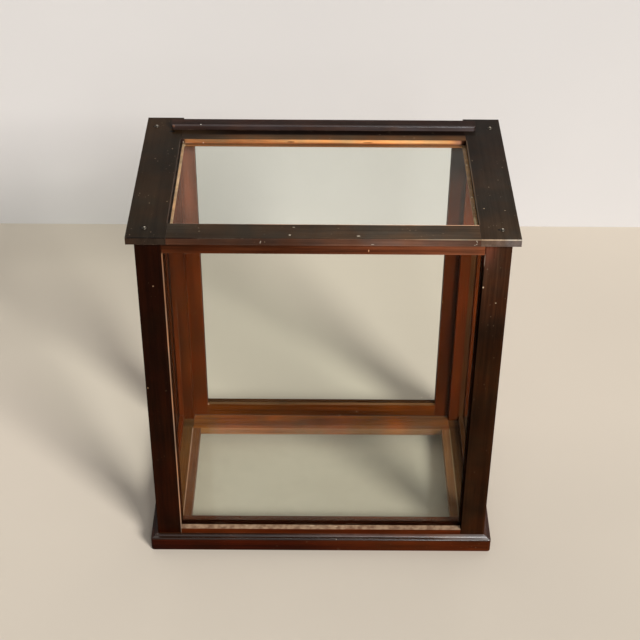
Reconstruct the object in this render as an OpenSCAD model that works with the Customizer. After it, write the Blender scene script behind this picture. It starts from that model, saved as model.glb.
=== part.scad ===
// Glazed wooden display cabinet with a sash at the back that lifts out through the top.
// Millimetres. X runs across the front, the front faces -Y, Z is up.
// The origin is the middle of the footprint on the ground.

/* [Case] */
// Width over the posts
case_w = 658; // [560:1:800]
// Depth over the posts
case_d = 401; // [340:1:520]
// Length of the posts between the base and the top
post_h = 706; // [560:1:900]
// Side of each square post
post_w = 47.6; // [44:0.2:56]
// Bevel on the long edges of the posts
post_arris = 1.2; // [0.6:0.1:2]

/* [Case rails] */
// Thickness of the case rails
rail_t = 25.4; // [24:0.2:28]
// Height of the bottom rails
bottom_rail_h = 12; // [11:0.5:30]
// Height of the top rails
top_rail_h = 26.5; // [20:0.5:45]
// Distance from a face of the case to its glass
lip_t = 12.8; // [12:0.1:15]

/* [Base] */
// Height of the base
base_h = 35.2; // [30:0.2:60]
// Thickness of the plinth moulding
plinth_t = 14; // [10:0.5:20]
// Radius of the rounded top edge of the plinth
plinth_r = 6.2; // [3:0.1:9]
// Thickness of the base frame
base_t = 17.5; // [15:0.5:24]
// Width of the base's front rail
base_front_w = 50; // [48:0.5:70]
// Width of the base's side rails
base_side_w = 64; // [58:0.5:80]
// Width of the base's rear rail
base_rear_w = 77.6; // [60:0.2:100]

/* [Top] */
// Thickness of the top frame
top_t = 14.3; // [12:0.1:20]
// Overhang of the top past the case on every side
top_over = 13; // [6:0.5:20]
// How far the top's front rail reaches in past the case rail
top_front_in = 7.8; // [7.6:0.1:20]
// How far the top's stiles reach in past the case rails
top_side_in = 31.5; // [20:0.5:50]
// Width of the top's rear rail
top_rear_w = 35.5; // [28:0.5:44]
// Width of the rebate under the top frame that holds its glass and the strips under the glass
top_rebate = 4; // [3:0.1:5]
// Thickness of those strips
strip_t = 2.4; // [2:0.1:4]
// How far the side strips show inside the opening
strip_side_in = 6.5; // [0:0.5:9]
// How far the front and rear strips show inside the opening
strip_end_in = 3.5; // [0:0.5:6]

/* [Glass] */
// Thickness of every pane
glass_t = 3; // [2:0.1:4]
// Depth of the grooves and rebates at the edge of a pane
glass_groove = 6; // [5:0.1:7]
// Play round the edge of a pane
glass_play = 0.5; // [0.2:0.1:1]
// Gap between neighbouring beads or strips at their corners
bead_gap = 0.2; // [0.1:0.1:0.5]

/* [Sash] */
// Thickness of the sash
sash_t = 20; // [18:0.5:22]
// Width of the sash stiles
sash_stile_w = 36.5; // [32:0.5:50]
// Height of the sash's bottom rail
sash_bottom_h = 32; // [28:0.5:60]
// Height of the sash's top rail
sash_top_h = 36.5; // [30:0.5:60]
// Distance from the front of the sash to its glass
sash_lip_t = 8.5; // [8:0.1:10]
// How deep the sash runs in the rear posts
sash_run = 6.1; // [4:0.1:8]
// Wood left behind the sash in the rear posts
rear_wall_t = 14.5; // [10:0.5:18]
// Play at each face of the sash in its grooves
sash_play = 0.5; // [0.3:0.1:1]
// Play at each side edge of the sash
sash_side_play = 0.8; // [0.3:0.1:1.5]
// Gap under the sash and under its cap
rest_gap = 0.3; // [0.1:0.1:0.5]

/* [Sash cap] */
// Length of the cap past each edge of the sash
cap_end = 5.5; // [3:0.5:12]
// Thickness of the cap
cap_t = 10.5; // [8:0.5:16]
// Finger grip: overhang of the cap behind the sash
cap_grip = 4; // [2:0.5:12]
// Radius of the cap's upper front edge and of the finger grip
cap_r = 3.5; // [2:0.5:4.5]
// Radius of the cap's upper rear edge
cap_rear_r = 1; // [0.5:0.5:3]
// Radius of the cap's front corners seen from above
cap_corner_r = 5; // [2:0.5:8]

/* [Joints] */
// Thickness of the case tenons
tenon_t = 8; // [6:0.5:8]
// Length of the case tenons
tenon_l = 14; // [10:0.5:18]
// Shoulder above and below a case tenon
tenon_shoulder = 2; // [1:0.5:3]
// Space at the end of a tenon in its mortise
tenon_end_play = 1; // [0.5:0.1:2]
// Side of the square stub under each post
foot_w = 16; // [12:0.5:18]
// Length of that stub
foot_l = 11; // [8:0.5:12]
// Thickness of the tenons of the rail behind the sash
rear_tenon_t = 7; // [5:0.5:8]
// Length of the tenons in the base and top frames
frame_tenon_l = 15; // [12:0.5:20]
// Shoulder at each side of a tenon in the base and top frames
frame_tenon_in = 6; // [4:0.5:8]
// Thickness of the tenons in the base frame
base_tenon_t = 5.8; // [4:0.2:7]
// Thickness of the tenons in the top frame
top_tenon_t = 4.6; // [3:0.2:6]
// Length of the sash tenons
sash_tenon_l = 18; // [12:0.5:22]
// Thickness of the sash tenons
sash_tenon_t = 5; // [4:0.5:6]
// Shoulder above and below a sash tenon
sash_tenon_in = 5; // [3:0.5:8]

/* [Screws] */
// Diameter of a screw head
screw_head_d = 9; // [7:0.5:11]
// Height of a screw head
screw_head_h = 2.8; // [2:0.1:3.5]
// Diameter of a screw shank
screw_d = 4; // [3:0.2:5]
// Length of a screw under its head
screw_l = 38; // [28:1:45]
// Clearance round a shank in the top frame
screw_play = 0.3; // [0.1:0.1:0.5]
// Front screws: distance from the side of the case
front_screw_x = 18; // [12:0.5:28]
// Front screws: distance from the front of the case
front_screw_y = 17.5; // [12:0.5:28]
// Rear screws: distance from the side of the case
rear_screw_x = 7; // [6:0.5:28]
// Rear screws: distance from the back of the case
rear_screw_y = 22.5; // [12:0.5:28]

/* [Hidden] */

// Extra depth of a cut past the face it opens
cut = 1;
// Facets of a full circle
$fn = 48;

// Half sizes of the case
half_w = case_w / 2;
half_d = case_d / 2;
// Clear widths between the posts
front_clear = case_w - 2 * post_w;
side_clear = case_d - 2 * post_w;
// Underside and upper face of the top frame
top_z = base_h + post_h;
top_face_z = top_z + top_t;
// Edges of the glass as seen on the case
sight_low_z = base_h + bottom_rail_h;
sight_high_z = top_z - top_rail_h;
// Width left for the bead behind a pane
bead_t = rail_t - lip_t - glass_t;
// Tenons sit in the middle of the wood in front of the glass
tenon_y = (lip_t - tenon_t) / 2;

// Front and back planes of the sash
sash_back_y = half_d - rear_wall_t - sash_play;
sash_front_y = sash_back_y - sash_t;
// Half widths of the sash and of its opening
sash_half_w = front_clear / 2 + sash_run;
sash_sight_half = sash_half_w - sash_stile_w;
// Levels of the sash
sash_low_z = base_h + rest_gap;
sash_high_z = top_face_z + rest_gap;
sash_sight_low_z = sash_low_z + sash_bottom_h;
sash_sight_high_z = sash_high_z - sash_top_h;
sash_bead_t = sash_t - sash_lip_t - glass_t;
sash_tenon_y = (sash_lip_t - sash_tenon_t) / 2;
// The rail behind the sash is as thick as the wood behind the sash's grooves
rear_tenon_y = (rear_wall_t - rear_tenon_t) / 2;

// Outline and opening of the top frame
top_half_w = half_w + top_over;
top_half_d = half_d + top_over;
top_open_half = half_w - rail_t - top_side_in;
top_open_front = -half_d + rail_t + top_front_in;
top_rear_edge = sash_front_y - sash_play;
top_open_rear = top_rear_edge - top_rear_w;
top_open_d = top_open_rear - top_open_front;
top_front_w = top_open_front + top_half_d;
top_rebate_h = strip_t + glass_t;
top_tenon_z = top_z + top_rebate_h + (top_t - top_rebate_h - top_tenon_t) / 2;

// Underside of the base frame and its tenons, which stop short of the mortises under the posts
base_z = base_h - base_t;
base_tenon_z = base_z + (base_t - base_tenon_t) / 2;
base_tenon_low = half_w - base_side_w + frame_tenon_in;
foot_wall = 3;
base_tenon_high = half_w - (post_w + foot_w) / 2 - foot_wall;

// Puts a piece drawn from the front left corner of the case at another corner.
// There x runs in from the side and y runs in from the front or the back.
module at_corner(side, end) {
    translate([side * half_w, end * half_d, 0])
        mirror([side > 0 ? 1 : 0, 0, 0])
            mirror([0, end > 0 ? 1 : 0, 0])
                children();
}

// Puts a panel drawn along x, with y running in from its face, on each side of the case
module at_front() {
    translate([0, -half_d, 0]) children();
}

module at_left() {
    translate([-half_w, 0, 0]) rotate([0, 0, -90]) children();
}

module at_right() {
    translate([half_w, 0, 0]) rotate([0, 0, 90]) children();
}

// Colours of the woods and the glass
module case_wood() {
    color("#4a281b") children();
}

module base_wood() {
    color("#3a1d15") children();
}

module top_wood() {
    color("#2e231d") children();
}

module sash_wood() {
    color("#6b3a1e") children();
}

module clear_glass() {
    color("#c8dbd4", 0.35) children();
}

// A box that is centred on x = 0
module bar(length, depth, height) {
    translate([-length / 2, 0, 0]) cube([length, depth, height]);
}

// Tenons at both ends of a case rail
module rail_tenons(clear, z0, height) {
    translate([0, tenon_y, z0 + tenon_shoulder])
        bar(clear + 2 * tenon_l, tenon_t, height - 2 * tenon_shoulder);
}

module bottom_rail(clear) {
    translate([0, 0, base_h])
        difference() {
            bar(clear, rail_t, bottom_rail_h);
            translate([0, lip_t, bottom_rail_h - glass_groove])
                bar(clear + 2 * cut, rail_t - lip_t + cut, glass_groove + cut);
        }
    rail_tenons(clear, base_h, bottom_rail_h);
}

module top_rail(clear) {
    translate([0, 0, sight_high_z])
        difference() {
            bar(clear, rail_t, top_rail_h);
            translate([0, lip_t, -cut])
                bar(clear + 2 * cut, rail_t - lip_t + cut, glass_groove + cut);
        }
    rail_tenons(clear, sight_high_z, top_rail_h);
}

module pane(clear) {
    reach = glass_groove - glass_play;
    translate([0, lip_t, sight_low_z - reach])
        bar(clear + 2 * reach, glass_t, sight_high_z - sight_low_z + 2 * reach);
}

// Four beads behind a pane: two lie in the rails, two stand in the posts' grooves
module beads(clear) {
    translate([0, lip_t + glass_t, 0]) {
        for (z = [sight_low_z - glass_groove, sight_high_z])
            translate([0, 0, z]) bar(clear - 2 * bead_gap, bead_t, glass_groove);
        for (x = [-clear / 2 - glass_groove, clear / 2])
            translate([x, 0, sight_low_z - glass_groove])
                cube([glass_groove, bead_t, sight_high_z - sight_low_z + 2 * glass_groove]);
    }
}

// Square outline with bevelled corners
module post_outline() {
    a = post_arris;
    b = post_w - post_arris;
    polygon([
        [a, 0], [b, 0], [post_w, a], [post_w, b],
        [b, post_w], [a, post_w], [0, b], [0, a]
    ]);
}

module post_blank() {
    translate([0, 0, base_h]) linear_extrude(post_h) post_outline();
    translate([(post_w - foot_w) / 2, (post_w - foot_w) / 2, base_h - foot_l])
        cube([foot_w, foot_w, foot_l + cut]);
}

// Groove for the edge of a pane in the face that lies square to x
module pane_groove() {
    translate([post_w - glass_groove, lip_t, base_h - cut])
        cube([glass_groove + cut, rail_t - lip_t, post_h + 2 * cut]);
}

module rail_mortise(z0, height) {
    translate([post_w - tenon_l - tenon_end_play, tenon_y, z0 + tenon_shoulder])
        cube([tenon_l + tenon_end_play + cut, tenon_t, height - 2 * tenon_shoulder]);
}

module rail_mortises() {
    rail_mortise(base_h, bottom_rail_h);
    rail_mortise(sight_high_z, top_rail_h);
}

// Swaps x and y, for the cuts that serve the side panels
module swap_xy() {
    mirror([1, -1, 0]) children();
}

module pilot_hole(x, y) {
    depth = screw_l - top_t;
    translate([x, y, top_z - depth]) cylinder(d = screw_d, h = depth + cut);
}

module front_post(side) {
    case_wood() at_corner(side, -1) difference() {
        post_blank();
        pane_groove();
        swap_xy() pane_groove();
        rail_mortises();
        swap_xy() rail_mortises();
        pilot_hole(front_screw_x, front_screw_y);
    }
}

// Mortise for the rail behind the sash
module rear_rail_mortise() {
    translate([post_w - tenon_l - tenon_end_play, rear_tenon_y, sight_high_z + tenon_shoulder])
        cube([tenon_l + tenon_end_play + cut, rear_tenon_t, top_rail_h - 2 * tenon_shoulder]);
}

// Groove that guides the edge of the sash
module sash_groove() {
    translate([post_w - sash_run - sash_side_play, rear_wall_t, base_h - cut])
        cube([sash_run + sash_side_play + cut, sash_t + 2 * sash_play, post_h + 2 * cut]);
}

module rear_post(side) {
    case_wood() at_corner(side, 1) difference() {
        post_blank();
        sash_groove();
        swap_xy() pane_groove();
        swap_xy() rail_mortises();
        rear_rail_mortise();
        pilot_hole(rear_screw_x, rear_screw_y);
    }
}

module rear_top_rail() {
    case_wood() translate([0, half_d, 0]) mirror([0, 1, 0]) {
        translate([0, 0, sight_high_z]) bar(front_clear, rear_wall_t, top_rail_h);
        translate([0, rear_tenon_y, sight_high_z + tenon_shoulder])
            bar(front_clear + 2 * tenon_l, rear_tenon_t, top_rail_h - 2 * tenon_shoulder);
    }
}

// Mortises in the base frame for the stubs under the posts
module foot_mortises() {
    inset = (post_w - foot_w) / 2;
    for (side = [-1, 1], end = [-1, 1])
        at_corner(side, end)
            translate([inset, inset, base_h - foot_l - tenon_end_play])
                cube([foot_w, foot_w, foot_l + tenon_end_play + cut]);
}

// Tenons of both side rails of the base, or their mortises when play is given
module base_tenons(play = 0) {
    low = -half_d + base_front_w - frame_tenon_l - play;
    high = half_d - base_rear_w + frame_tenon_l + play;
    for (side = [-1, 1])
        mirror([side > 0 ? 0 : 1, 0, 0])
            translate([base_tenon_low, low, base_tenon_z])
                cube([base_tenon_high - base_tenon_low, high - low, base_tenon_t]);
}

module base_cross_rail(y0, width) {
    base_wood() difference() {
        translate([0, y0, base_z]) bar(case_w, width, base_t);
        foot_mortises();
        base_tenons(tenon_end_play);
    }
}

module base_side_rail(side) {
    length = case_d - base_front_w - base_rear_w;
    x0 = side > 0 ? half_w - base_side_w : -half_w;
    base_wood() {
        translate([x0, -half_d + base_front_w, base_z]) cube([base_side_w, length, base_t]);
        intersection() {
            base_tenons();
            translate([x0, -half_d, 0]) cube([base_side_w, case_d, base_h]);
        }
    }
}

// Section of the plinth: y = 0 is the case's face, z = 0 the ground
module plinth_section() {
    arc_steps = 8;
    polygon(concat(
        [[0, 0], [plinth_t, 0], [plinth_t, base_h - plinth_r]],
        [for (i = [1 : arc_steps])
            let (a = 90 * i / arc_steps)
            [plinth_t - plinth_r * (1 - cos(a)), base_h - plinth_r * (1 - sin(a))]],
        [[0, base_h]]
    ));
}

// A length of plinth with mitred ends that points out of the case along -y
module plinth_piece(length) {
    outer = length / 2 + plinth_t;
    base_wood() intersection() {
        translate([-outer, 0, 0]) rotate([90, 0, 90]) mirror([1, 0, 0])
            linear_extrude(2 * outer) plinth_section();
        linear_extrude(base_h)
            polygon([[-length / 2, 0], [length / 2, 0], [outer, -plinth_t], [-outer, -plinth_t]]);
    }
}

module bottom_glass() {
    front = -half_d + rail_t + glass_play;
    rear = sash_front_y - glass_play;
    clear_glass() translate([0, front, base_h])
        bar(front_clear - 2 * glass_play, rear - front, glass_t);
}

// Rebate in the underside of the top frame for its pane and strips
module top_pocket() {
    translate([0, top_open_front - top_rebate, top_z - cut])
        bar(2 * (top_open_half + top_rebate), top_open_d + 2 * top_rebate, top_rebate_h + cut);
}

module top_rail_tenon(y0, width, play = 0) {
    translate([0, y0 + frame_tenon_in, top_tenon_z])
        bar(2 * (top_open_half + frame_tenon_l + play), width - 2 * frame_tenon_in, top_tenon_t);
}

// Notch in the stiles that lets the sash through
module sash_notch() {
    translate([0, top_rear_edge, top_z - cut])
        bar(2 * (sash_half_w + sash_side_play), sash_t + 2 * sash_play, top_t + 2 * cut);
}

module screw_hole(x, y) {
    translate([x, y, top_z - cut]) cylinder(d = screw_d + 2 * screw_play, h = top_t + 2 * cut);
}

module screw_holes() {
    for (side = [-1, 1]) {
        at_corner(side, -1) screw_hole(front_screw_x, front_screw_y);
        at_corner(side, 1) screw_hole(rear_screw_x, rear_screw_y);
    }
}

module top_stile(side) {
    width = top_half_w - top_open_half;
    x0 = side > 0 ? top_open_half : -top_half_w;
    top_wood() difference() {
        translate([x0, -top_half_d, top_z]) cube([width, 2 * top_half_d, top_t]);
        top_pocket();
        sash_notch();
        top_rail_tenon(-top_half_d, top_front_w, tenon_end_play);
        top_rail_tenon(top_open_rear, top_rear_w, tenon_end_play);
        screw_holes();
    }
}

module top_cross_rail(y0, width) {
    top_wood() {
        difference() {
            translate([0, y0, top_z]) bar(2 * top_open_half, width, top_t);
            top_pocket();
        }
        top_rail_tenon(y0, width);
    }
}

module top_glass() {
    reach = top_rebate - glass_play;
    clear_glass() translate([0, top_open_front - reach, top_z + strip_t])
        bar(2 * (top_open_half + reach), top_open_d + 2 * reach, glass_t);
}

// Strips that lie in the rebate under the pane and show through it
module top_glass_strips() {
    end_w = top_rebate + strip_end_in;
    side_w = top_rebate + strip_side_in;
    case_wood() translate([0, 0, top_z]) {
        for (y = [top_open_front - top_rebate, top_open_rear - strip_end_in])
            translate([0, y, 0]) bar(2 * (top_open_half + top_rebate), end_w, strip_t);
        for (x = [-top_open_half - top_rebate, top_open_half - strip_side_in])
            translate([x, top_open_front + strip_end_in + bead_gap, 0])
                cube([side_w, top_open_d - 2 * (strip_end_in + bead_gap), strip_t]);
    }
}

// Round-headed slotted screw that stands on z = 0
module screw() {
    slot_w = screw_head_d / 8;
    slot_d = screw_head_h / 2.5;
    head_r = screw_head_d / 2;
    dome_r = (head_r * head_r + screw_head_h * screw_head_h) / (2 * screw_head_h);
    difference() {
        intersection() {
            translate([0, 0, screw_head_h - dome_r]) sphere(r = dome_r);
            cylinder(r = head_r + cut, h = screw_head_h + cut);
        }
        translate([-head_r - cut, -slot_w / 2, screw_head_h - slot_d])
            cube([screw_head_d + 2 * cut, slot_w, slot_d + cut]);
    }
    translate([0, 0, -screw_l]) cylinder(d = screw_d, h = screw_l);
}

module top_screws() {
    color("#5c4a32") for (side = [-1, 1]) {
        at_corner(side, -1) translate([front_screw_x, front_screw_y, top_face_z]) screw();
        at_corner(side, 1) translate([rear_screw_x, rear_screw_y, top_face_z]) screw();
    }
}

// Puts a piece of the sash drawn with y = 0 at its front
module at_sash() {
    translate([0, sash_front_y, 0]) children();
}

// Rebate behind the opening of the sash
module sash_rebate() {
    translate([0, sash_lip_t, sash_sight_low_z - glass_groove])
        bar(2 * (sash_sight_half + glass_groove), sash_t - sash_lip_t + cut,
            sash_sight_high_z - sash_sight_low_z + 2 * glass_groove);
}

module sash_tenons(z0, height, play = 0) {
    translate([0, sash_tenon_y, z0 + sash_tenon_in])
        bar(2 * (sash_sight_half + sash_tenon_l + play), sash_tenon_t, height - 2 * sash_tenon_in);
}

module sash_stile(side) {
    x0 = side > 0 ? sash_sight_half : -sash_half_w;
    sash_wood() at_sash() difference() {
        translate([x0, 0, sash_low_z]) cube([sash_stile_w, sash_t, sash_high_z - sash_low_z]);
        sash_rebate();
        sash_tenons(sash_low_z, sash_bottom_h, tenon_end_play);
        sash_tenons(sash_sight_high_z, sash_top_h, tenon_end_play);
    }
}

module sash_rail(z0, height) {
    sash_wood() at_sash() {
        difference() {
            translate([0, 0, z0]) bar(2 * sash_sight_half, sash_t, height);
            sash_rebate();
        }
        sash_tenons(z0, height);
    }
}

module sash_glass() {
    reach = glass_groove - glass_play;
    clear_glass() at_sash() translate([0, sash_lip_t, sash_sight_low_z - reach])
        bar(2 * (sash_sight_half + reach), glass_t, sash_sight_high_z - sash_sight_low_z + 2 * reach);
}

module sash_glazing_beads() {
    height = sash_sight_high_z - sash_sight_low_z - 2 * bead_gap;
    sash_wood() at_sash() translate([0, sash_lip_t + glass_t, 0]) {
        for (z = [sash_sight_low_z - glass_groove, sash_sight_high_z])
            translate([0, 0, z])
                bar(2 * (sash_sight_half + glass_groove), sash_bead_t, glass_groove);
        for (x = [-sash_sight_half - glass_groove, sash_sight_half])
            translate([x, 0, sash_sight_low_z + bead_gap])
                cube([glass_groove, sash_bead_t, height]);
    }
}

// Points of a quarter circle round [x, y], from angle a0 on
function quarter(x, y, r, a0, steps = 6) =
    [for (i = [0 : steps]) let (a = a0 + 90 * i / steps) [x + r * cos(a), y + r * sin(a)]];

// Section of the cap: flat underneath, rounded at both upper edges and at the finger grip
module cap_section() {
    depth = sash_t + cap_grip;
    polygon(concat(
        [[0, 0]],
        quarter(depth - cap_r, cap_r, cap_r, -90),
        quarter(depth - cap_rear_r, cap_t - cap_rear_r, cap_rear_r, 0),
        quarter(cap_r, cap_t - cap_r, cap_r, 90)
    ));
}

// Outline of the cap from above
module cap_outline(length) {
    depth = sash_t + cap_grip;
    x = length / 2 - cap_corner_r;
    polygon(concat(
        [[length / 2, depth], [-length / 2, depth]],
        quarter(-x, cap_corner_r, cap_corner_r, 180),
        quarter(x, cap_corner_r, cap_corner_r, -90)
    ));
}

module sash_cap() {
    length = 2 * (sash_half_w + cap_end);
    top_wood() translate([0, sash_front_y, sash_high_z]) intersection() {
        translate([-length / 2, 0, 0]) rotate([90, 0, 90]) linear_extrude(length) cap_section();
        linear_extrude(cap_t) cap_outline(length);
    }
}

base_cross_rail(-half_d, base_front_w);  // base_front_rail
base_cross_rail(half_d - base_rear_w, base_rear_w);  // base_rear_rail
base_side_rail(-1);  // base_left_rail
base_side_rail(1);  // base_right_rail
at_front() plinth_piece(case_w);  // plinth_front
rotate([0, 0, 180]) at_front() plinth_piece(case_w);  // plinth_rear
at_left() plinth_piece(case_d);  // plinth_left
at_right() plinth_piece(case_d);  // plinth_right
bottom_glass();
front_post(-1);  // front_left_post
front_post(1);  // front_right_post
rear_post(-1);  // rear_left_post
rear_post(1);  // rear_right_post
case_wood() at_front() bottom_rail(front_clear);  // front_bottom_rail
case_wood() at_front() top_rail(front_clear);  // front_top_rail
case_wood() at_left() bottom_rail(side_clear);  // left_bottom_rail
case_wood() at_left() top_rail(side_clear);  // left_top_rail
case_wood() at_right() bottom_rail(side_clear);  // right_bottom_rail
case_wood() at_right() top_rail(side_clear);  // right_top_rail
rear_top_rail();
clear_glass() at_front() pane(front_clear);  // front_glass
clear_glass() at_left() pane(side_clear);  // left_glass
clear_glass() at_right() pane(side_clear);  // right_glass
case_wood() at_front() beads(front_clear);  // front_glazing_beads
case_wood() at_left() beads(side_clear);  // left_glazing_beads
case_wood() at_right() beads(side_clear);  // right_glazing_beads
top_stile(-1);  // top_left_stile
top_stile(1);  // top_right_stile
top_cross_rail(-top_half_d, top_front_w);  // top_front_rail
top_cross_rail(top_open_rear, top_rear_w);  // top_rear_rail
top_glass();
top_glass_strips();
top_screws();
sash_stile(-1);  // sash_left_stile
sash_stile(1);  // sash_right_stile
sash_rail(sash_sight_high_z, sash_top_h);  // sash_top_rail
sash_rail(sash_low_z, sash_bottom_h);  // sash_bottom_rail
sash_glass();
sash_glazing_beads();
sash_cap();
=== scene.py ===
import math

import bmesh
import bpy
from mathutils import Matrix, Vector


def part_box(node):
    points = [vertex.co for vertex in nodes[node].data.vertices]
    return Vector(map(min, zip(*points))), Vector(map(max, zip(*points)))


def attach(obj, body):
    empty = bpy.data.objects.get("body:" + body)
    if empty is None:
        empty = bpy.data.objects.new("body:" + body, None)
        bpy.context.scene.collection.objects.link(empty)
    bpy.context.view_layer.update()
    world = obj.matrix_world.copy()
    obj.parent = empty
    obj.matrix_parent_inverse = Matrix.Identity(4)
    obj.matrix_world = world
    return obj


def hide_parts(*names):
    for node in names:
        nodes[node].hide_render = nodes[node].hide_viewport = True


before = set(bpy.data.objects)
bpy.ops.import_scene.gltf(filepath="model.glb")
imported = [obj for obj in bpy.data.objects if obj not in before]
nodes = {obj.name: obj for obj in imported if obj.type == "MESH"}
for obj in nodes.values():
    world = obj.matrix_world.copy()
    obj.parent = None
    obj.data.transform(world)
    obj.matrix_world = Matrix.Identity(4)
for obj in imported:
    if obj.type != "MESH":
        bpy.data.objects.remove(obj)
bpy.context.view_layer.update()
scene = bpy.context.scene

# Camera: the photograph's viewpoint, found by fitting the corners of the cabinet. Angles are in degrees.
PITCH, YAW, ROLL = 36.5686, 0.10651, 0.39310
EYE = (-0.008777, -2.303283, 2.132063)
FOCAL_PX, FRAME_PX = 1453.776, 640
SENSOR_MM = 36
NEAREST, FARTHEST = 0.05, 60


def make_camera():
    pitch, yaw, roll = (math.radians(a) for a in (PITCH, YAW, ROLL))
    forward = Vector((math.sin(yaw) * math.cos(pitch), math.cos(yaw) * math.cos(pitch), -math.sin(pitch)))
    right = Vector((math.cos(yaw), -math.sin(yaw), 0))
    up = right.cross(forward)
    right, up = (math.cos(roll) * right + math.sin(roll) * up, -math.sin(roll) * right + math.cos(roll) * up)
    data = bpy.data.cameras.new("camera")
    data.sensor_width = SENSOR_MM
    data.lens = SENSOR_MM * FOCAL_PX / FRAME_PX
    data.clip_start, data.clip_end = NEAREST, FARTHEST
    camera = bpy.data.objects.new("camera", data)
    rotation = Matrix((right, up, -forward)).transposed().to_4x4()
    camera.matrix_world = Matrix.Translation(EYE) @ rotation
    scene.collection.objects.link(camera)
    scene.camera = camera


make_camera()
scene.view_settings.view_transform = "Standard"


class Shader:
    """A node material, with short calls that add nodes to it."""

    # Sockets of a Mix node for colours
    MIX_SHARE, MIX_A, MIX_B, MIX_RESULT = 0, 6, 7, 2

    def __init__(self, name):
        self.mat = bpy.data.materials.new(name)
        self.mat.use_nodes = True
        self.tree = self.mat.node_tree
        self.tree.nodes.clear()
        self.out = self.tree.nodes.new("ShaderNodeOutputMaterial")
        self.source = self.add("TexCoord").outputs
        self.place = self.source["Object"]

    def add(self, kind, inputs=None, **settings):
        node = self.tree.nodes.new("ShaderNode" + kind)
        for key, value in settings.items():
            setattr(node, key, value)
        for key, value in (inputs or {}).items():
            if isinstance(value, bpy.types.NodeSocket):
                self.tree.links.new(value, node.inputs[key])
            else:
                node.inputs[key].default_value = value
        return node

    def math(self, operation, *values, clamp=False):
        return self.add("Math", dict(enumerate(values)), operation=operation, use_clamp=clamp).outputs[0]

    def vector(self, operation, *values):
        return self.add("VectorMath", dict(enumerate(values)), operation=operation).outputs[0]

    def mix(self, share, a, b):
        """Colour a, going over to colour b by the share."""
        a, b = (c if isinstance(c, bpy.types.NodeSocket) else (*c, 1) for c in (a, b))
        node = self.add("Mix", data_type="RGBA")
        for index, value in ((self.MIX_SHARE, share), (self.MIX_A, a), (self.MIX_B, b)):
            if isinstance(value, bpy.types.NodeSocket):
                self.tree.links.new(value, node.inputs[index])
            else:
                node.inputs[index].default_value = value
        return node.outputs[self.MIX_RESULT]

    def ramp(self, value, low, high, to_low=0.0, to_high=1.0):
        """Maps low..high smoothly to to_low..to_high."""
        return self.add("MapRange", {0: value, 1: low, 2: high, 3: to_low, 4: to_high},
                        interpolation_type="SMOOTHSTEP").outputs[0]

    def noise(self, vector, scale, detail, roughness, distortion=0.0):
        inputs = {"Vector": vector, "Scale": scale, "Detail": detail, "Roughness": roughness,
                  "Distortion": distortion}
        return self.add("TexNoise", inputs).outputs[0]

    def spots(self, marks):
        """Round or long marks with a ragged edge, each a centre and its half sizes."""
        ragged = self.math("MULTIPLY", self.noise(self.place, 800, 2, 0.6), 0.9)
        nearest = None
        for centre, radii in marks:
            offset = self.vector("DIVIDE", self.vector("SUBTRACT", self.place, centre), radii)
            reach = self.add("VectorMath", {0: offset}, operation="LENGTH").outputs["Value"]
            nearest = reach if nearest is None else self.math("MINIMUM", nearest, reach)
        return self.ramp(self.math("ADD", nearest, ragged), 1.55, 1.3)

    def finish(self, shader):
        self.tree.links.new(shader, self.out.inputs["Surface"])
        return self.mat


def seen(r, g, b):
    """A colour as it is seen on the screen, in sRGB from 0 to 255, as plain light."""
    return tuple(((v / 255 + 0.055) / 1.055) ** 2.4 if v > 10 else v / 255 / 12.92 for v in (r, g, b))


class Wood(Shader):
    """Old stained and varnished mahogany with its grain along one axis, in the part's own frame."""

    # How far one seed's grain lies from the next
    SEED_STEP = (1.37, 0.71, 2.3)
    # Shares of the broad bands, the streaks and the fine lines in the grain
    BROAD, STREAK, FINE = 0.45, 0.38, 0.17

    def __init__(self, name, axis, seed, contrast, clouds):
        super().__init__(name)
        self.at = self.add("SeparateXYZ", {0: self.place}).outputs
        self.normal = self.add("SeparateXYZ", {0: self.source["Normal"]}).outputs
        order = {"X": (1, 2, 0), "Y": (2, 0, 1), "Z": (0, 1, 2)}[axis]
        along = self.add("CombineXYZ", {i: self.at[j] for i, j in enumerate(order)}).outputs[0]
        self.along = self.vector("ADD", along, tuple(seed * step for step in self.SEED_STEP))
        broad = self.grain(14, 1.6, detail=3, rough=0.55, distortion=0.6)
        self.streak = self.grain(95, 2.4, detail=3, rough=0.62, distortion=0.25)
        self.fine = self.grain(330, 8, detail=2, rough=0.6)
        self.pore = self.ramp(self.grain(900, 30, detail=1, rough=0.5), 0.60, 0.70)
        lines = self.math("MULTIPLY_ADD", self.streak, self.STREAK, self.math("MULTIPLY", self.fine, self.FINE))
        tone = self.ramp(self.math("MULTIPLY_ADD", broad, self.BROAD, lines), 0.36, 0.64)
        self.cloud = self.ramp(self.noise(self.place, 7, 3, 0.55), 0.3, 0.7, 1 - clouds, 1 + clouds)
        warmth = self.ramp(self.noise(self.vector("ADD", self.place, (3.1, 1.7, seed)), 12, 3, 0.6), 0.35, 0.65)
        self.hue = self.mix(warmth, (1 - 0.5 * clouds, 1, 1 + 0.4 * clouds), (1 + 0.6 * clouds, 1, 1 - 0.6 * clouds))
        low, high = 1 - contrast, 1 + contrast
        self.shade = self.mix(tone, (low, 0.94 * low, 0.88 * low), (high, high, 1.02 * high))

    def grain(self, across, length, detail, rough, distortion=0.0):
        """Noise that is stretched along the grain: its scale across it and along it."""
        stretched = self.vector("MULTIPLY", self.along, (across, across, length))
        return self.noise(stretched, 1.0, detail, rough, distortion)

    def mask(self, rules):
        """The share of a surface that all rules let through. A rule is an axis or a normal's axis, and two limits."""
        share = None
        for key, low, high in rules:
            source = self.normal["XYZ".index(key[1])] if key[0] == "n" else self.at["XYZ".index(key)]
            part = self.ramp(source, low, high)
            share = part if share is None else self.math("MULTIPLY", share, part)
        return share


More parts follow.
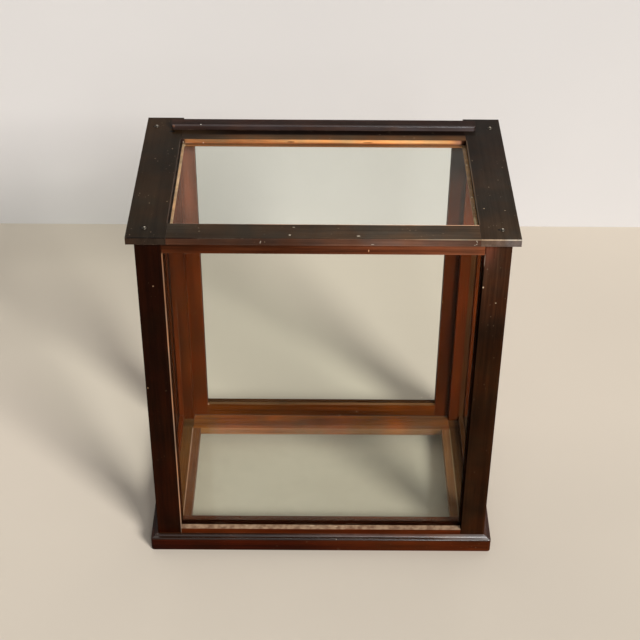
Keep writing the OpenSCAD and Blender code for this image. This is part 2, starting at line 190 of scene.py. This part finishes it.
# Settings of all the wood: the dark pores, the rubbed edges, the flakes, the dust and the grain's relief
PORE_SHARE, PORE_TINT = 0.45, (0.4, 0.38, 0.36)
RUBBED_WIDTH = 0.0018
FLAKE, DUST = (140, 120, 96), (178, 150, 122)
GRAIN_DEPTH = 0.0003


def wood(name, axis, seed, colour, zones=(), marks=(), wear=(120, 92, 72), wear_amount=0.5, specks=0.0,
         roughness=0.42, shine=0.03, coat=0.0, coat_roughness=0.2, coat_ior=1.8, polish=None, dust=0.0,
         contrast=0.42, clouds=0.16):
    """Stained wood. Zones and marks repaint parts of it, polish adds varnish, and specks are flecks of lost stain."""
    s = Wood(name, axis, seed, contrast, clouds)
    stain = s.add("RGB").outputs[0]
    stain.default_value = (*seen(*colour), 1)
    for rules, paint in zones:
        stain = s.mix(s.mask(rules), stain, seen(*paint))
    tinted = s.vector("MULTIPLY", s.vector("MULTIPLY", stain, s.shade), s.hue)
    tinted = s.add("VectorMath", {0: tinted, "Scale": s.cloud}, operation="SCALE").outputs[0]
    tinted = s.mix(s.math("MULTIPLY", s.pore, PORE_SHARE), tinted, s.vector("MULTIPLY", tinted, PORE_TINT))

    # Varnish rubbed off along the edges
    bevel = s.add("Bevel", {"Radius": RUBBED_WIDTH}, samples=6).outputs[0]
    facing = s.add("VectorMath", {0: bevel, 1: s.add("NewGeometry").outputs["Normal"]},
                   operation="DOT_PRODUCT").outputs["Value"]
    edge = s.ramp(facing, 0.995, 0.88)
    patch = s.ramp(s.grain(60, 16, detail=4, rough=0.65), 0.50, 0.62)
    rubbed = s.math("MULTIPLY", s.math("MULTIPLY", edge, patch), wear_amount, clamp=True)
    tinted = s.mix(rubbed, tinted, seen(*wear))
    if specks:
        flake = s.ramp(s.noise(s.place, 300, 0, 0.5), 0.80, 0.83)
        flake = s.math("MULTIPLY", flake, s.ramp(s.noise(s.place, 19, 2, 0.5), 0.52, 0.62))
        tinted = s.mix(s.math("MULTIPLY", flake, specks), tinted, seen(*FLAKE))
    for shade, places in marks:
        tinted = s.mix(s.spots(places), tinted, seen(*shade))

    rough = s.math("ADD", s.ramp(s.noise(s.place, 11, 3, 0.6), 0.3, 0.7, roughness - 0.06, roughness + 0.08),
                   s.math("MULTIPLY", rubbed, 0.25))
    if dust:
        up = s.ramp(s.normal[2], 0.6, 0.9)
        film = s.ramp(s.noise(s.place, 90, 4, 0.7), 0.34, 0.66, 0.35, 1.0)
        film = s.math("MULTIPLY", s.math("MULTIPLY", up, film), dust, clamp=True)
        tinted = s.mix(film, tinted, seen(*DUST))
        rough = s.math("ADD", rough, s.math("MULTIPLY", film, 0.4), clamp=True)
    height = s.math("ADD", s.math("MULTIPLY", s.streak, 0.5),
                    s.math("MULTIPLY", s.math("SUBTRACT", s.fine, s.pore), 0.3))
    bump = s.add("Bump", {"Strength": 0.2, "Distance": GRAIN_DEPTH, "Height": height}).outputs[0]
    if polish:
        rules, weight = polish
        coat = s.math("MULTIPLY_ADD", s.mask(rules), weight - coat, coat)
    shader = s.add("BsdfPrincipled", {
        "Base Color": tinted, "Roughness": rough, "Normal": bump, "Specular IOR Level": shine, "IOR": 1.5,
        "Coat Weight": coat, "Coat Roughness": coat_roughness, "Coat IOR": coat_ior})
    return s.finish(shader.outputs[0])


# What clean glass mirrors when it is looked at straight
GLASS_MIRROR = 0.04


def glass(name, tint, mirror, dust):
    """A pane that lets light straight through and mirrors more at a slant, with a thin film of dust where asked."""
    s = Shader(name)
    facing = s.add("LayerWeight", {"Blend": 0.5}).outputs["Facing"]
    fresnel = s.math("MULTIPLY_ADD", s.math("POWER", facing, 5.0), (1 - GLASS_MIRROR) * mirror, GLASS_MIRROR * mirror)
    clear = s.add("BsdfTransparent", {"Color": (*tint, 1)})
    shine = s.add("BsdfPrincipled", {"Base Color": (1, 1, 1, 1), "Metallic": 1.0, "Roughness": 0.02})
    whole = s.add("MixShader", {0: fresnel, 1: clear.outputs[0], 2: shine.outputs[0]})
    if dust:
        film = s.ramp(s.noise(s.place, 9, 5, 0.6), 0.3, 0.72, dust * 0.55, dust * 1.3)
        grime = s.add("BsdfPrincipled", {"Base Color": (0.50, 0.42, 0.31, 1), "Roughness": 0.85,
                                         "Specular IOR Level": 0.1})
        whole = s.add("MixShader", {0: film, 1: whole.outputs[0], 2: grime.outputs[0]})
    return s.finish(whole.outputs[0])


def metal(name, colour, roughness, bright):
    """Darkened metal with bright spots painted on as highlights."""
    s = Shader(name)
    stains = s.ramp(s.noise(s.place, 900, 3, 0.6), 0.35, 0.65)
    base = s.mix(stains, colour, tuple(0.4 * c for c in colour))
    base = s.mix(s.spots(bright), base, (0.9, 0.85, 0.75))
    rough = s.ramp(stains, 0, 1, roughness, roughness + 0.2)
    shader = s.add("BsdfPrincipled", {"Base Color": base, "Metallic": 1.0, "Roughness": rough})
    return s.finish(shader.outputs[0])


# Faces of the top frame, its opening and the sash's cap, in metres
OPEN_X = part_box("top_right_stile")[0].x
OPEN_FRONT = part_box("top_front_rail")[1].y
OPEN_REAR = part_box("top_rear_rail")[0].y
FACE_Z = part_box("top_front_rail")[1].z
FACE_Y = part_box("top_front_rail")[0].y
CAP_Z = 0.7663

# Rules for a mask: the way that a face looks, and the roundings that begin to look up
TO_FRONT, TO_LEFT, TO_RIGHT = ("nY", -0.4, -0.9), ("nX", -0.4, -0.9), ("nX", 0.4, 0.9)
UP = ("nZ", 0.4, 0.9)
ROUND = ("nZ", 0.12, 0.35)

CHIP_DEPTH = 0.0015


def top_spots(spots, z=FACE_Z):
    """Spots in the top face, chips and painted shadows: x, y and two half sizes, in millimetres."""
    return [((x / 1000, y / 1000, z), (a / 1000, b / 1000, CHIP_DEPTH)) for x, y, a, b in spots]


def face_spots(spots):
    """Spots in a face that looks forward or back, chips and a painted highlight: x, y, z and two half sizes, in
    millimetres.
    """
    return [((x / 1000, y / 1000, z / 1000), (a / 1000, CHIP_DEPTH, b / 1000)) for x, y, z, a, b in spots]


# The top frame's front edge, as rules
ARRIS = [("Y", FACE_Y + 0.0016, FACE_Y + 0.0006), ("Z", FACE_Z - 0.0020, FACE_Z - 0.0008)]

# Options that several pieces share
TOP = {"wear": (112, 94, 78), "specks": 0.7, "roughness": 0.45, "coat": 0.06, "coat_roughness": 0.12,
       "contrast": 0.30, "clouds": 0.26}
ROUNDED = {"roughness": 0.42, "coat_roughness": 0.18, "polish": ([ROUND], 1.0), "contrast": 0.45, "clouds": 0.2}
POST = {"specks": 0.4, "shine": 0.0, "polish": ([("nY", -0.3, -0.6)], 0.04), "coat_roughness": 0.35, "contrast": 0.42,
        "clouds": 0.3}

# Colours that several pieces share, as they are seen
# Of these, the fourth is painted shade: the shadows beside the screw heads and in the gap by the cap's end
INSIDE, SHADED, NEAR_BLACK, PAINTED_SHADE, CHIP = (74, 30, 5), (46, 18, 5), (14, 9, 6), (8, 6, 5), (180, 140, 100)
# The sash's upper edge under the cap, painted dark as shade, as a zone
SHADE_UNDER_CAP = ([("Z", 0.738, 0.748)], (26, 14, 9))

# Each wooden node: the axis of its grain, its seed, its colour as it is seen, and its options.
# A zone is rules and a colour. A mark is a colour and its spots, each a centre and half sizes.
WOODS = {
    "front_left_post": ("Z", 1, (27, 7, 1), {
        **POST, "wear": (80, 46, 28),
        "zones": [([TO_RIGHT], (50, 24, 9)),
                  # A pale line on the inner face in front of the glass, painted as the light falling on it from the
                  # right
                  ([TO_RIGHT, ("Y", -0.1908, -0.1918), ("Z", 0.716, 0.712)], (152, 118, 94))],
        "marks": [((160, 130, 100), face_spots([(-301, -200.5, 644.6, 1, 1.2), (-325.2, -200.5, 412, 0.8, 1.4)]))]}),
    "front_right_post": ("Z", 2, (38, 19, 6), {
        **POST, "wear": (110, 76, 56),
        # The inner face painted near-black as shade
        "zones": [([("Z", 0.48, 0.70)], (60, 37, 24)), ([TO_LEFT], (14, 5, 1)),
                  ([("Z", 0.67, 0.735), ("X", 0.309, 0.293)], (100, 56, 40))],
        "marks": [((205, 180, 150), face_spots([(283.7, -200.5, 646, 1.2, 1.6), (308.7, -200.5, 612, 0.9, 0.9)])),
                  # A painted highlight along the inner arris near the top
                  ((150, 128, 112), face_spots([(282.2, -200.5, 704, 0.7, 14)]))]}),
    "rear_left_post": ("Z", 3, (66, 27, 4), {"zones": [([("Z", 0.50, 0.55)], (84, 42, 20))]}),
    "rear_right_post": ("Z", 4, (76, 29, 3), {"zones": [([("Z", 0.50, 0.55), ("Z", 0.68, 0.63)], (100, 46, 12))]}),
    "front_bottom_rail": ("X", 5, (70, 27, 6), {
        "dust": 0.75, "wear": (112, 64, 40),
        "marks": [((190, 172, 146), [((-0.018, -0.191, 0.0472), (0.005, 0.0016, 0.002)),
                                     ((0.03, -0.193, 0.0472), (0.003, 0.0012, 0.002)),
                                     ((-0.15, -0.192, 0.0472), (0.002, 0.0012, 0.002))])]}),
    "front_top_rail": ("X", 6, (66, 31, 13), {
        "zones": [([("X", -0.12, 0.22)], (103, 58, 37))], "wear": (158, 112, 84), "wear_amount": 0.6, "contrast": 0.6,
        "marks": [((180, 132, 96), face_spots([(79, -200.5, 722.5, 1, 2.4)]))]}),
    "left_bottom_rail": ("Y", 7, INSIDE, {"zones": [([UP], (62, 42, 26))]}),
    "left_top_rail": ("Y", 8, SHADED, {}),
    "right_bottom_rail": ("Y", 9, INSIDE, {"zones": [([UP], (66, 46, 28))]}),
    "right_top_rail": ("Y", 10, SHADED, {}),
    "rear_top_rail": ("X", 11, SHADED, {}),
    "top_left_stile": ("Y", 12, (35, 25, 14), {
        "zones": [([UP, ("X", -OPEN_X - 0.0022, -OPEN_X - 0.0012), ("Y", OPEN_FRONT, OPEN_FRONT + 0.002),
                    ("Y", 0.131, 0.129)], (60, 49, 42)),
                  # Near-black along the front arris
                  ([TO_FRONT], (43, 30, 21)), (ARRIS, NEAR_BLACK), ([TO_RIGHT], (12, 3, 1)), ([TO_LEFT], (24, 16, 11))],
        "marks": [((118, 98, 76), top_spots([(-215, -192, 1.6, 1), (-298.6, -195, 1.1, 0.9), (-334, -204, 1.1, 0.9),
                                          (-310, -101, 1.2, 1), (-279, -95, 1.3, 1), (-308.6, 46, 0.8, 0.8)])),
                  # Painted shade: shadows beside the screw heads and in the gap by the cap's end
                  (PAINTED_SHADE, top_spots([(-291, 159, 6, 4), (-327, 178, 3, 2), (-316.5, -182, 3.2, 2.2)]))]}),
    "top_right_stile": ("Y", 13, (30, 22, 16), {
        "zones": [([("Y", 0.12, -0.2)], (54, 43, 32)),
                  ([UP, ("X", OPEN_X + 0.0024, OPEN_X + 0.0012), ("Y", OPEN_FRONT, OPEN_FRONT + 0.002),
                    ("Y", 0.131, 0.129)], (88, 72, 58)),
                  # The front arris painted pale as a highlight
                  ([TO_FRONT], (96, 83, 76)), (ARRIS, (186, 172, 154)), ([TO_LEFT], (48, 32, 18))],
        "marks": [((168, 148, 118), top_spots([(285, -113, 1.2, 1.2), (321.6, -119, 1, 1), (300, -40, 0.8, 0.8)])),
                  # Painted shade: shadows beside the screw heads
                  (PAINTED_SHADE, top_spots([(305.4, -182, 3, 2.2), (317, 178, 2.6, 1.8)]))]}),
    "top_front_rail": ("X", 14, (47, 36, 25), {
        "contrast": 0.4, "wear_amount": 0.9,
        "zones": [([("X", -0.15, 0.22)], (67, 54, 42)),
                  ([TO_FRONT], (61, 39, 28)), ([TO_FRONT, ("X", -0.12, 0.16)], (92, 67, 56)),
                  # The rear arris by the opening, painted pale as a highlight
                  ([UP, ("Y", OPEN_FRONT - 0.0021, OPEN_FRONT - 0.0012), ("X", -0.35, 0.24)], (236, 200, 172)),
                  # Pale along the front arris towards the right as a painted highlight; near-black towards the left
                  ([*ARRIS, ("X", 0.12, 0.24)], (164, 148, 128)), ([*ARRIS, ("X", -0.08, -0.2)], NEAR_BLACK)],
        "marks": [((160, 148, 130), top_spots([(-58, -202, 2, 2.2), (-51.5, -177.6, 2.2, 1), (60.7, -204, 3, 2)])),
                  ((104, 88, 68), top_spots([(26, -180, 1.6, 1), (-215, -191.7, 1.6, 1.2), (150, -186, 1.2, 0.8)])),
                  ((156, 144, 130), [((-0.1080, FACE_Y, 0.7490), (0.0006, 0.0012, 0.0016)),
                                     ((-0.1090, FACE_Y, 0.7466), (0.0006, 0.0012, 0.0015)),
                                     ((0.085, FACE_Y, 0.7445), (0.0028, 0.0012, 0.0006)),
                                     ((0.2640, FACE_Y, 0.7525), (0.0012, 0.0012, 0.0008)),
                                     ((0.2650, FACE_Y, 0.7498), (0.0005, 0.0012, 0.0016)),
                                     ((0.2642, FACE_Y, 0.7455), (0.0012, 0.0012, 0.0008)),
                                     ((0.2612, FACE_Y, 0.7440), (0.0010, 0.0012, 0.0006))])]}),
    "top_rear_rail": ("X", 15, (84, 60, 39), {
        # A dark band on the top face in front of the cap: painted shade and dark reflection of the cap
        "zones": [([UP, ("Y", 0.142, 0.152)], (20, 11, 7)), ([("X", -0.16, -0.26)], (46, 36, 26)),
                  ([TO_FRONT], (148, 100, 62)), ([TO_FRONT, ("X", -0.13, -0.03)], (206, 150, 96)),
                  ([TO_FRONT, ("Z", 0.7500, 0.7478)], (160, 100, 60)),
                  ([TO_FRONT, ("X", 0.236, 0.262)], (150, 106, 84)),
                  # The right end painted dark as the right stile's shadow
                  ([TO_FRONT, ("X", 0.260, 0.266)], (40, 22, 12)),
                  ([TO_FRONT, ("X", -0.262, -0.267)], (52, 34, 28))],
        # A glue spot, and along the foot of the face a painted reflection of the glass
        "marks": [((150, 130, 110), [((-0.2676, OPEN_REAR, 0.7485), (0.0008, 0.002, 0.0026)),
                                     ((-0.259, OPEN_REAR, 0.7470), (0.010, 0.002, 0.0005))]),
                  ((214, 190, 168), [((-0.2296, OPEN_REAR, 0.7475), (0.0011, 0.002, 0.001))]),
                  ((96, 58, 30), [((-0.062, OPEN_REAR, 0.7505), (0.007, 0.002, 0.0012)),
                                  ((0.085, OPEN_REAR, 0.7498), (0.009, 0.002, 0.0008))])]}),
    "top_glass_strips": ("X", 16, (140, 92, 58), {
        "zones": [([("X", -0.262, -0.2655)], (200, 160, 122)), ([("X", -0.2694, -0.2703)], (20, 7, 2)),
                  ([("X", 0.262, 0.2655)], (176, 134, 92))],
        # Slivers of light on the right strip, painted pale
        "marks": [((232, 206, 160), [((0.2685, -0.140, 0.7436), (0.0018, 0.018, 0.002)),
                                     ((0.2685, 0.058, 0.7436), (0.0014, 0.003, 0.002)),
                                     ((0.2690, -0.056, 0.7436), (0.0016, 0.003, 0.002)),
                                     ((0.2690, -0.092, 0.7436), (0.0016, 0.002, 0.002))]),
                  ((170, 150, 128), [((-0.2676, 0.125, 0.7436), (0.0016, 0.005, 0.002))])]}),
    "front_glazing_beads": ("X", 17, (34, 11, 3), {"shine": 0.0}),
    "left_glazing_beads": ("Z", 18, INSIDE, {}),
    "right_glazing_beads": ("Z", 19, (70, 40, 16), {}),
    "sash_left_stile": ("Z", 20, (80, 34, 6), {
        # Upper edge painted dark as shade under the cap
        "zones": [([("Z", 0.50, 0.55)], (104, 58, 38)), SHADE_UNDER_CAP],
        "marks": [(CHIP, face_spots([(-267.7, 165.5, 316, 1, 1.2)]))]}),
    "sash_right_stile": ("Z", 21, (70, 28, 5), {
        # Darker above about 0.65 m as the top frame's painted shadow; the upper edge painted dark as shade under the
        # cap
        "zones": [([("Z", 0.62, 0.70)], (42, 18, 5)), SHADE_UNDER_CAP],
        "marks": [(CHIP, face_spots([(252.8, 165.5, 349.5, 1.4, 1), (269.5, 165.5, 314, 1, 1)]))]}),
    # Upper edge painted dark as shade under the cap
    "sash_top_rail": ("X", 22, (78, 36, 10), {"zones": [SHADE_UNDER_CAP]}),
    "sash_bottom_rail": ("X", 23, (84, 40, 6), {
        "zones": [([UP], (92, 64, 36))], "wear": (140, 112, 84), "contrast": 0.6,
        "marks": [((204, 168, 138), face_spots([(-249.5, 165.5, 67.2, 2.4, 1)])),
                  ((180, 150, 120), face_spots([(78, 165.5, 48.6, 1.6, 1.4), (40.4, 165.5, 38, 2.4, 0.8)]))]}),
    "sash_glazing_beads": ("X", 24, (58, 36, 20), {"shine": 0.0}),
    "sash_cap": ("X", 25, (40, 24, 19), {
        "wear": (112, 90, 80), "roughness": 0.4, "coat": 0.05, "coat_roughness": 0.22, "contrast": 0.45,
        "clouds": 0.26,
        # The front face painted paler and greyer towards the right as sheen
        "zones": [([("nY", -0.25, -0.6)], (56, 42, 38)), ([("nY", -0.9, -0.98), ("X", -0.05, 0.2)], (84, 72, 70))],
        "polish": ([("nY", -0.2, -0.45), ("nZ", 0.05, 0.25)], 1.0),
        "marks": [((210, 202, 192), top_spots([(-236, 168, 1.1, 1.1)], CAP_Z)),
                  ((96, 66, 52), [((-0.2885, 0.1675, 0.763), (0.003, 0.004, 0.003))])]}),
    "base_front_rail": ("X", 26, INSIDE, {}),
    "base_rear_rail": ("X", 27, (124, 62, 6), {
        "zones": [([TO_FRONT], (134, 78, 28)), ([UP, ("X", -0.2806, -0.2814)], (80, 52, 26)),
                  ([UP, ("X", 0.2806, 0.2814)], (70, 44, 22))], "clouds": 0.3, "contrast": 0.5}),
    "base_left_rail": ("Y", 28, (112, 62, 24), {
        "zones": [([UP, ("X", -0.2806, -0.2814)], (88, 57, 28)),
                  # A pale line along the pane's edge, painted as the glint of the glass's edge
                  ([UP, ("X", -0.2836, -0.2828), ("X", -0.2804, -0.2812)], (150, 118, 94))]}),
    "base_right_rail": ("Y", 29, (146, 94, 52), {
        "zones": [([UP, ("X", 0.2806, 0.2814)], (86, 57, 30)),
                  # A pale line along the pane's edge, painted as the glint of the glass's edge
                  ([UP, ("X", 0.2836, 0.2828), ("X", 0.2804, 0.2812)], (150, 124, 92))]}),
    "plinth_front": ("X", 30, (44, 11, 2), {
        **ROUNDED, "wear": (96, 60, 44), "specks": 0.5, "coat_ior": 2.2,
        "zones": [([("X", -0.1, 0.2)], (60, 23, 5)), ([("Z", 0.027, 0.031)], (34, 21, 14)),
                  # The bead's top painted paler as sheen, and paler still at the right end as a highlight
                  ([("Z", 0.0326, 0.0334), ("X", -0.16, 0.06)], (72, 52, 44)),
                  ([("Z", 0.0310, 0.0320), ("X", 0.20, 0.30)], (100, 90, 84))],
        "polish": ([ROUND, ("X", -0.9, 0.2), ("Z", 0.0290, 0.0330)], 1.0),
        "marks": [((180, 168, 150), face_spots([(-167, -208, 35, 1.2, 1), (47.8, -208, 35, 1.2, 1),
                                            (31, -214, 32, 1, 1)]))]}),
    "plinth_rear": ("X", 31, (44, 14, 3), ROUNDED),
    "plinth_left": ("Y", 32, (36, 14, 6), {**ROUNDED, "polish": ([ROUND], 0.12)}),
    "plinth_right": ("Y", 33, (50, 20, 6), {**ROUNDED, "polish": ([ROUND], 0.35)}),
}

# The plinth's section is a low bead against the case, then a fascia with a round arris and foot.
# Its four lengths meet in mitres, and the fascia's corners are rounded in plan.
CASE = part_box("rear_right_post")[1]
PLINTH_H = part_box("plinth_front")[1].z
PLINTH_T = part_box("plinth_front")[1].x - CASE.x
FOOT_R, ARRIS_R = 0.0025, 0.003
BEAD_W, BEAD_H = 0.007, 0.003
ROUND_STEPS, CORNER_STEPS = 6, 5
SHARP = 0.008  # corners are sharp in plan up to this far out, then round
MITRE_LAP = 0.004  # a sharp corner's first ring lies this much short of the mitre, so that no face is empty

# Each length: half of the case's side, that side's distance from the middle, and its turn in degrees
PLINTH_SIDES = {
    "plinth_front": (CASE.x, CASE.y, 0),
    "plinth_right": (CASE.y, CASE.x, 90),
    "plinth_rear": (CASE.x, CASE.y, 180),
    "plinth_left": (CASE.y, CASE.x, 270),
}

# Widths of the softened edges, and the least angle that counts as an edge
WOOD_EDGE, MOULDING_EDGE, SCREW_EDGE = 0.0006, 0.0004, 0.0002
EDGE_ANGLE = math.radians(35)
FLAT_ANGLE = math.radians(0.5)
WELD_GAP = 1e-6


def soften(piece, width):
    """Rounds a piece's edges a little."""
    bevel = piece.modifiers.new("soft edges", "BEVEL")
    bevel.width = width
    bevel.segments = 2
    bevel.limit_method = "ANGLE"
    bevel.angle_limit = EDGE_ANGLE
    return bevel


def quarter(out, z, wide, high, start):
    """A quarter of an ellipse round a centre, from an angle on, anticlockwise."""
    angles = (math.radians(start + 90 * i / ROUND_STEPS) for i in range(ROUND_STEPS + 1))
    return [(out + wide * math.cos(a), z + high * math.sin(a)) for a in angles]


def plinth_length(name, material, half, face, turn):
    """Builds one moulded length of the plinth, in place of the plain one."""
    shelf = PLINTH_H - BEAD_H
    section = [(0, 0), *quarter(PLINTH_T - FOOT_R, FOOT_R, FOOT_R, FOOT_R, 270),
               *quarter(PLINTH_T - ARRIS_R, shelf - ARRIS_R, ARRIS_R, ARRIS_R, 0),
               *quarter(0, shelf, BEAD_W, BEAD_H, 0)]
    end = []
    for k in range(CORNER_STEPS + 1):
        angle = math.radians(45 * k / CORNER_STEPS)
        ring = []
        for out, z in section:
            if out > SHARP:
                round_x, round_y = (out - SHARP) * math.sin(angle), (out - SHARP) * math.cos(angle)
                ring.append((half + SHARP + round_x, face + SHARP + round_y, z))
            else:
                ring.append((half + out - MITRE_LAP * (1 - k / CORNER_STEPS), face + out, z))
        end.append(ring)
    rings = [[(-x, y, z) for x, y, z in ring] for ring in reversed(end)] + end
    spin = Matrix.Rotation(math.radians(turn), 3, "Z")
    bm = bmesh.new()
    rows = [[bm.verts.new(spin @ Vector((x, -y, z))) for x, y, z in ring] for ring in rings]
    for row, after in zip(rows, rows[1:]):
        for i in range(len(section)):
            j = (i + 1) % len(section)
            bm.faces.new((row[i], row[j], after[j], after[i]))
    bm.faces.new(rows[0])
    bm.faces.new(rows[-1])
    bmesh.ops.recalc_face_normals(bm, faces=bm.faces)
    for each in bm.faces:
        each.smooth = True
    mesh = bpy.data.meshes.new(name + "_moulding")
    bm.to_mesh(mesh)
    bm.free()
    piece = bpy.data.objects.new(name + "_moulding", mesh)
    scene.collection.objects.link(piece)
    mesh.materials.append(material)
    soften(piece, MOULDING_EDGE).harden_normals = True
    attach(piece, "cabinet")
    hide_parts(name)


def dress(name, material, width=0.0):
    """Gives a CAD node its material, welds its corners and, where a width is given, softens its edges."""
    piece = nodes[name]
    piece.data.materials.clear()
    piece.data.materials.append(material)
    weld = piece.modifiers.new("weld", "WELD")
    weld.merge_threshold = WELD_GAP
    if width:
        flat = piece.modifiers.new("whole faces", "DECIMATE")
        flat.decimate_type = "DISSOLVE"
        flat.angle_limit = FLAT_ANGLE
        soften(piece, width)


for name, (axis, seed, colour, options) in WOODS.items():
    if name.startswith("top_") and name != "top_glass_strips":
        options = {**TOP, **options}
    material = wood("wood_" + name, axis, seed, colour, **options)
    if name in PLINTH_SIDES:
        plinth_length(name, material, *PLINTH_SIDES[name])
    else:
        dress(name, material, WOOD_EDGE)

# Each pane: what its glass lets through, its share of clean glass's reflections, and its film of dust
PANES = {
    "front_glass": ((0.985, 0.99, 0.982), 0.1, 0.0),
    "sash_glass": ((0.965, 0.975, 0.96), 0.1, 0.0),
    "left_glass": ((0.975, 0.985, 0.975), 0.12, 0.0),
    "right_glass": ((0.975, 0.985, 0.975), 0.12, 0.0),
    "top_glass": ((0.955, 0.965, 0.945), 0.4, 0.02),
    "bottom_glass": ((0.95, 0.96, 0.94), 0.4, 0.06),
}
for name, (tint, mirror, dust) in PANES.items():
    dress(name, glass("pane_" + name, tint, mirror, dust))

# Painted highlights: bright spots on the screws' heads
HEAD_GLINTS = ((-0.3105, -0.183), (0.3115, -0.183), (-0.3215, 0.178), (0.3225, 0.178))
glint_spots = [((x, y, FACE_Z), (0.0016, 0.0016, 0.006)) for x, y in HEAD_GLINTS]
dress("top_screws", metal("screw_metal", (0.11, 0.095, 0.075), 0.24, glint_spots), SCREW_EDGE)


# Stage: a pale floor and a pale wall behind the cabinet, which shows from its front only
def plain(name, colour, one_sided=False):
    s = Shader(name)
    shade = s.ramp(s.noise(s.place, 1.3, 2, 0.5), 0.3, 0.7)
    tone = s.mix(shade, colour, tuple(0.96 * c for c in colour))
    shader = s.add("BsdfPrincipled", {"Base Color": tone, "Roughness": 0.7, "Specular IOR Level": 0.2}).outputs[0]
    if one_sided:
        behind = s.add("NewGeometry").outputs["Backfacing"]
        clear = s.add("BsdfTransparent").outputs[0]
        shader = s.add("MixShader", {0: behind, 1: shader, 2: clear}).outputs[0]
    return s.finish(shader)


def sheet(name, corners, material):
    mesh = bpy.data.meshes.new(name)
    mesh.from_pydata(corners, [], [(0, 1, 2, 3)])
    mesh.materials.append(material)
    piece = bpy.data.objects.new(name, mesh)
    scene.collection.objects.link(piece)


FAR = 40
WALL_Y, WALL_H = 1.0, 4
sheet("floor", [(-FAR, -FAR, 0), (FAR, -FAR, 0), (FAR, FAR, 0), (-FAR, FAR, 0)],
      plain("floor_paint", (0.62, 0.55, 0.46)))
sheet("wall", [(-FAR, WALL_Y, 0), (FAR, WALL_Y, 0), (FAR, WALL_Y, WALL_H), (-FAR, WALL_Y, WALL_H)],
      plain("wall_paint", (0.60, 0.58, 0.57), one_sided=True))


# Light: a soft main light from the front right, even over the whole floor, and a narrow lamp nearer by
def light(name, kind, source, power, colour, **settings):
    """A lamp turned so that its light comes from the direction source."""
    data = bpy.data.lights.new(name, kind)
    data.energy = power
    data.color = colour
    for key, value in settings.items():
        setattr(data, key, value)
    lamp = bpy.data.objects.new(name, data)
    lamp.rotation_mode = "QUATERNION"
    lamp.rotation_quaternion = Vector(source).to_track_quat("Z", "Y")
    scene.collection.objects.link(lamp)
    return lamp


light("window", "SUN", source=(25.6, -32.8, 25.6), power=3.9, colour=(1.0, 0.98, 0.95),
      angle=math.radians(18.8))
BAR_PLACE, BAR_AIM = Vector((0.85, -4.3, 2.9)), Vector((0.2, 0, 0.4))
bar = light("window_bar", "AREA", source=BAR_PLACE - BAR_AIM, power=32, colour=(0.94, 0.97, 1.0),
            shape="RECTANGLE", size=0.45, size_y=1.6)
bar.location = BAR_PLACE

SKY_COLOUR, SKY_STRENGTH = (0.86, 0.90, 0.96, 1), 0.26
world = bpy.data.worlds.new("studio")
scene.world = world
world.use_nodes = True
world.node_tree.nodes.clear()
sky = world.node_tree.nodes.new("ShaderNodeBackground")
sky.inputs["Color"].default_value = SKY_COLOUR
sky.inputs["Strength"].default_value = SKY_STRENGTH
end = world.node_tree.nodes.new("ShaderNodeOutputWorld")
world.node_tree.links.new(sky.outputs[0], end.inputs["Surface"])
